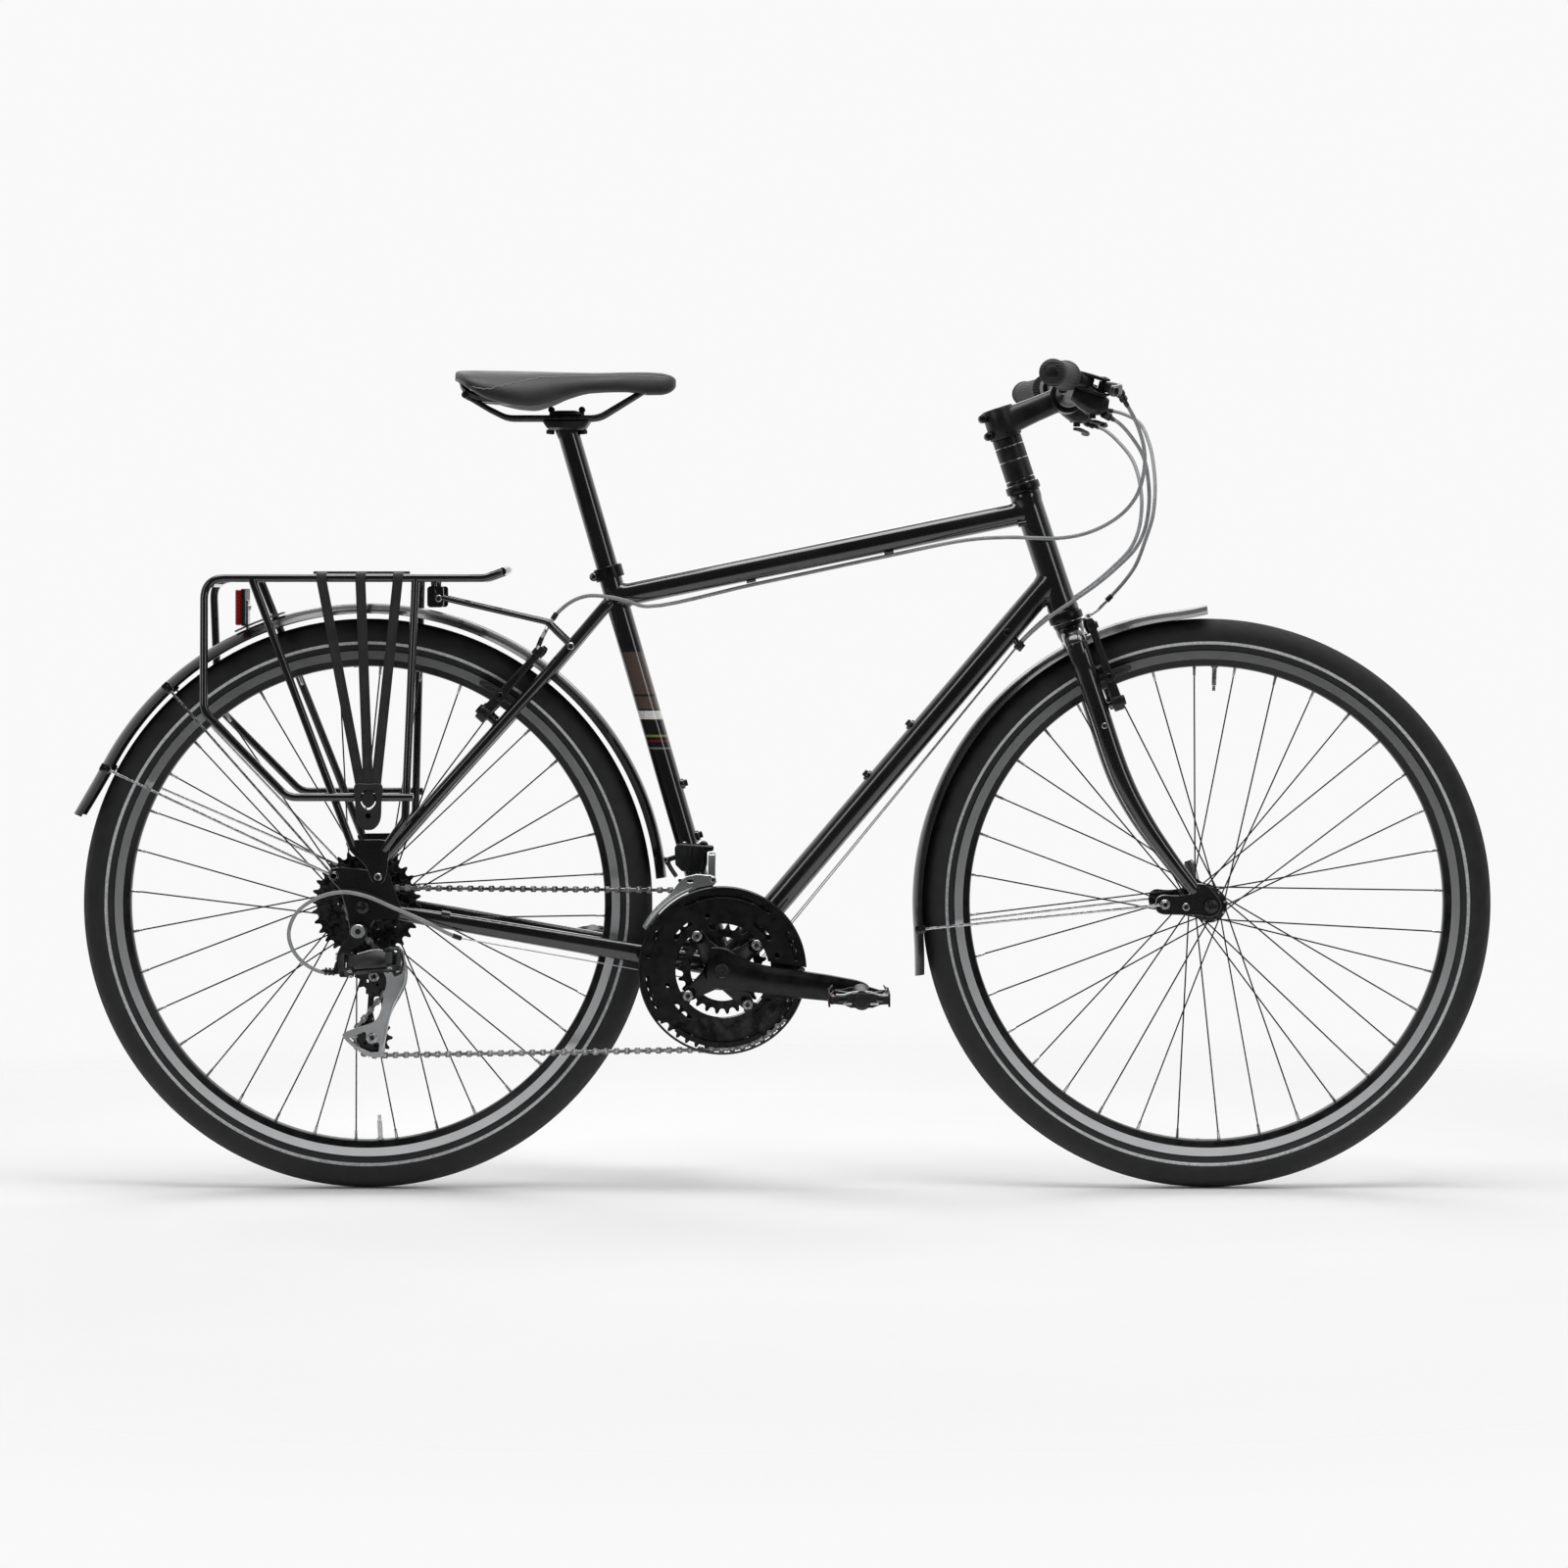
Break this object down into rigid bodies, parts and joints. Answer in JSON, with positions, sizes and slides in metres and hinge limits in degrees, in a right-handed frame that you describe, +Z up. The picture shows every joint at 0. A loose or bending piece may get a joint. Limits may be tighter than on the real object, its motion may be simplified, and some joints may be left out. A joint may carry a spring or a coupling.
{
  "type": "touring bicycle",
  "caption": "Touring bicycle with diamond frame, flat bar, rim brakes, derailleur gears, mudguards, sprung-strap rear carrier and reflector.",
  "frame": {"origin": "middle of the flat under the rear tyre, where it meets the ground", "axes": "+X forwards, +Y to the rider's left, +Z up"},
  "size_m": [1.7379, 0.6212, 1.0129],
  "materials": {
    "gloss_black_paint": "gloss",
    "black_plastic": "satin",
    "black_alloy": "black anodised",
    "silver_alloy": "brushed",
    "steel": "plated",
    "black_steel": "satin",
    "tyre_rubber": "matte",
    "grip_rubber": "matte",
    "saddle_cover": "matte",
    "cable_casing": "satin",
    "red_lens": "clear red"
  },
  "bodies": {
    "frame": {"head_tube": "gloss_black_paint", "top_tube": "gloss_black_paint", "down_tube": "gloss_black_paint", "seat_tube": "gloss_black_paint", "chain_stays": "gloss_black_paint", "seat_stays": "gloss_black_paint", "rear_mudguard": "black_plastic", "rear_carrier": "black_steel", "luggage_straps": "grip_rubber", "rear_reflector": "red_lens", "rear_axle": "steel", "bottom_bracket_cartridge": "steel", "rear_derailleur_mount": "black_plastic", "rear_brake_cable": "cable_casing", "front_shift_cable": "cable_casing", "rear_shift_cable": "cable_casing", "chain": "steel"},
    "seat": {"seat_post": "black_alloy", "saddle_rails": "steel", "saddle": "saddle_cover"},
    "steering": {"fork": "gloss_black_paint", "stem": "black_alloy", "handlebar": "black_alloy", "left_grip": "grip_rubber", "right_grip": "grip_rubber", "front_mudguard": "black_plastic", "front_axle": "steel", "left_control": "black_plastic", "right_control": "black_plastic", "front_brake_cable": "cable_casing"},
    "front_wheel": {"front_tyre": "tyre_rubber", "front_rim": "silver_alloy", "front_hub": "black_alloy"},
    "rear_wheel": {"rear_tyre": "tyre_rubber", "rear_rim": "silver_alloy", "rear_hub": "black_alloy"},
    "sprockets": {"cassette": "steel"},
    "crankset": {"right_crank": "black_alloy", "left_crank": "black_alloy", "large_chainring": "black_alloy", "inner_chainrings": "steel"},
    "right_pedal": {"right_pedal": "black_plastic"},
    "left_pedal": {"left_pedal": "black_plastic"},
    "left_brake_lever": {"left_brake_lever": "black_alloy"},
    "right_brake_lever": {"right_brake_lever": "black_alloy"},
    "left_shift_lever": {"left_shift_lever": "black_plastic"},
    "right_shift_lever": {"right_shift_lever": "black_plastic"},
    "front_brake_arm_left": {"front_brake_arm_left": "black_alloy"},
    "front_brake_arm_right": {"front_brake_arm_right": "black_alloy"},
    "rear_brake_arm_left": {"rear_brake_arm_left": "black_alloy"},
    "rear_brake_arm_right": {"rear_brake_arm_right": "black_alloy"},
    "front_derailleur": {"front_derailleur_cage": "steel"},
    "outer_link": {"rear_derailleur_outer_link": "silver_alloy"},
    "inner_link": {"rear_derailleur_inner_link": "black_plastic"},
    "knuckle": {"rear_derailleur_knuckle": "black_plastic"},
    "derailleur_cage": {"rear_derailleur_cage": "silver_alloy"},
    "guide_pulley": {"guide_pulley": "black_plastic"},
    "tension_pulley": {"tension_pulley": "black_plastic"},
    "front_release": {"front_release_lever": "silver_alloy"},
    "rear_release": {"rear_release_lever": "silver_alloy"}
  },
  "joints": [
    {"name": "steering", "type": "hinge", "parent": "frame", "child": "steering", "pos_m": [0.8716, 0, 0.673], "axis": [-0.314, 0, 0.9494], "range_deg": [-60, 60], "deforming": ["front_brake_cable", "rear_brake_cable", "front_shift_cable", "rear_shift_cable"]},
    {"name": "seat_height", "type": "slide", "parent": "frame", "child": "seat", "axis": [-0.2786, 0, 0.9604], "range_m": [-0.05, 0.05]},
    {"name": "front_wheel_spin", "type": "hinge", "parent": "steering", "child": "front_wheel", "pos_m": [1.035, 0, 0.351], "axis": [0, 1, 0], "continuous": true},
    {"name": "rear_wheel_spin", "type": "hinge", "parent": "frame", "child": "rear_wheel", "pos_m": [0, 0, 0.351], "axis": [0, 1, 0], "continuous": true},
    {"name": "crank_spin", "type": "hinge", "parent": "frame", "child": "crankset", "pos_m": [0.438, 0, 0.273], "axis": [0, 1, 0], "continuous": true, "deforming": ["chain"]},
    {"name": "sprocket_spin", "type": "hinge", "parent": "frame", "child": "sprockets", "pos_m": [0, 0, 0.351], "axis": [0, 1, 0], "continuous": true, "deforming": ["chain"]},
    {"name": "right_pedal_spin", "type": "hinge", "parent": "crankset", "child": "right_pedal", "pos_m": [0.60609, -0.137, 0.24758], "axis": [0, 1, 0], "continuous": true},
    {"name": "left_pedal_spin", "type": "hinge", "parent": "crankset", "child": "left_pedal", "pos_m": [0.26991, 0.137, 0.29842], "axis": [0, 1, 0], "continuous": true},
    {"name": "left_brake_lever_pull", "type": "hinge", "parent": "steering", "child": "left_brake_lever", "pos_m": [0.8957, 0.152, 0.9811], "axis": [0.2747, 0, 0.9615], "range_deg": [0, 20], "stiffness_Nm_per_rad": 1, "deforming": ["front_brake_cable"]},
    {"name": "left_shift_lever_push", "type": "hinge", "parent": "steering", "child": "left_shift_lever", "pos_m": [0.8843, 0.14, 0.9409], "axis": [0, 0, -1], "range_deg": [0, 15], "stiffness_Nm_per_rad": 0.3, "deforming": ["front_shift_cable"]},
    {"name": "right_brake_lever_pull", "type": "hinge", "parent": "steering", "child": "right_brake_lever", "pos_m": [0.8957, -0.152, 0.9811], "axis": [-0.2747, 0, -0.9615], "range_deg": [0, 20], "stiffness_Nm_per_rad": 1, "deforming": ["rear_brake_cable"]},
    {"name": "right_shift_lever_push", "type": "hinge", "parent": "steering", "child": "right_shift_lever", "pos_m": [0.8843, -0.14, 0.9409], "axis": [0, 0, 1], "range_deg": [0, 15], "stiffness_Nm_per_rad": 0.3, "deforming": ["rear_shift_cable"]},
    {"name": "front_brake_left", "type": "hinge", "parent": "steering", "child": "front_brake_arm_left", "pos_m": [0.89829, 0.04, 0.5923], "axis": [0.9494, 0, 0.314], "range_deg": [0, 3.2], "deforming": ["front_brake_cable"]},
    {"name": "rear_brake_left", "type": "hinge", "parent": "frame", "child": "rear_brake_arm_left", "pos_m": [0.1646, 0.04, 0.56967], "axis": [0.7438, 0, -0.6684], "range_deg": [0, 3.2], "deforming": ["rear_brake_cable"]},
    {"name": "front_brake_right", "type": "hinge", "parent": "steering", "child": "front_brake_arm_right", "pos_m": [0.89829, -0.04, 0.5923], "axis": [-0.9494, 0, -0.314], "range_deg": [0, 3.2], "deforming": ["front_brake_cable"]},
    {"name": "rear_brake_right", "type": "hinge", "parent": "frame", "child": "rear_brake_arm_right", "pos_m": [0.1646, -0.04, 0.56967], "axis": [-0.7438, 0, 0.6684], "range_deg": [0, 3.2], "deforming": ["rear_brake_cable"]},
    {"name": "front_shift", "type": "slide", "parent": "frame", "child": "front_derailleur", "axis": [0, 1, 0], "range_m": [0, 0.015], "stiffness_N_per_m": 300, "deforming": ["chain", "front_shift_cable"]},
    {"name": "rear_shift", "type": "hinge", "parent": "frame", "child": "outer_link", "pos_m": [-0.014, -0.08794, 0.28471], "axis": [0, 0.5299, 0.848], "range_deg": [0, 48], "stiffness_Nm_per_rad": 1.5, "deforming": ["chain", "rear_shift_cable"]},
    {"name": "inner_link_turn", "type": "hinge", "parent": "frame", "child": "inner_link", "pos_m": [-0.014, -0.07606, 0.27729], "axis": [0, 0.5299, 0.848], "range_deg": [0, 48], "deforming": ["chain", "rear_shift_cable"]},
    {"name": "knuckle_turn", "type": "hinge", "parent": "outer_link", "child": "knuckle", "pos_m": [0.03524, -0.0953, 0.28931], "axis": [0, 0.5299, 0.848], "range_deg": [-48, 0], "deforming": ["chain"]},
    {"name": "cage_swing", "type": "hinge", "parent": "knuckle", "child": "derailleur_cage", "pos_m": [0.034, -0.07, 0.284], "axis": [0, 1, 0], "range_deg": [-20, 25], "stiffness_Nm_per_rad": 0.8, "deforming": ["chain"]},
    {"name": "guide_pulley_spin", "type": "hinge", "parent": "derailleur_cage", "child": "guide_pulley", "pos_m": [0.013, -0.058, 0.266], "axis": [0, 1, 0], "continuous": true, "deforming": ["chain"]},
    {"name": "tension_pulley_spin", "type": "hinge", "parent": "derailleur_cage", "child": "tension_pulley", "pos_m": [0.0107, -0.058, 0.191], "axis": [0, 1, 0], "continuous": true, "deforming": ["chain"]},
    {"name": "front_release_swing", "type": "hinge", "parent": "steering", "child": "front_release", "pos_m": [1.035, 0.06715, 0.351], "axis": [-0.9494, 0, -0.314], "range_deg": [0, 150]},
    {"name": "rear_release_swing", "type": "hinge", "parent": "frame", "child": "rear_release", "pos_m": [0, 0.08565, 0.351], "axis": [0.6, 0, -0.8], "range_deg": [0, 150]}
  ],
  "couplings": [
    {"joint": "sprocket_spin", "follows": "crank_spin", "ratio": 4.3636},
    {"joint": "tension_pulley_spin", "follows": "crank_spin", "ratio": 4.3636},
    {"joint": "guide_pulley_spin", "follows": "crank_spin", "ratio": -4.3636},
    {"joint": "inner_link_turn", "follows": "rear_shift", "ratio": 1},
    {"joint": "knuckle_turn", "follows": "rear_shift", "ratio": -1},
    {"joint": "front_brake_left", "follows": "left_brake_lever_pull", "ratio": 0.15},
    {"joint": "front_brake_right", "follows": "left_brake_lever_pull", "ratio": 0.15},
    {"joint": "rear_brake_left", "follows": "right_brake_lever_pull", "ratio": 0.15},
    {"joint": "rear_brake_right", "follows": "right_brake_lever_pull", "ratio": 0.15}
  ]
}
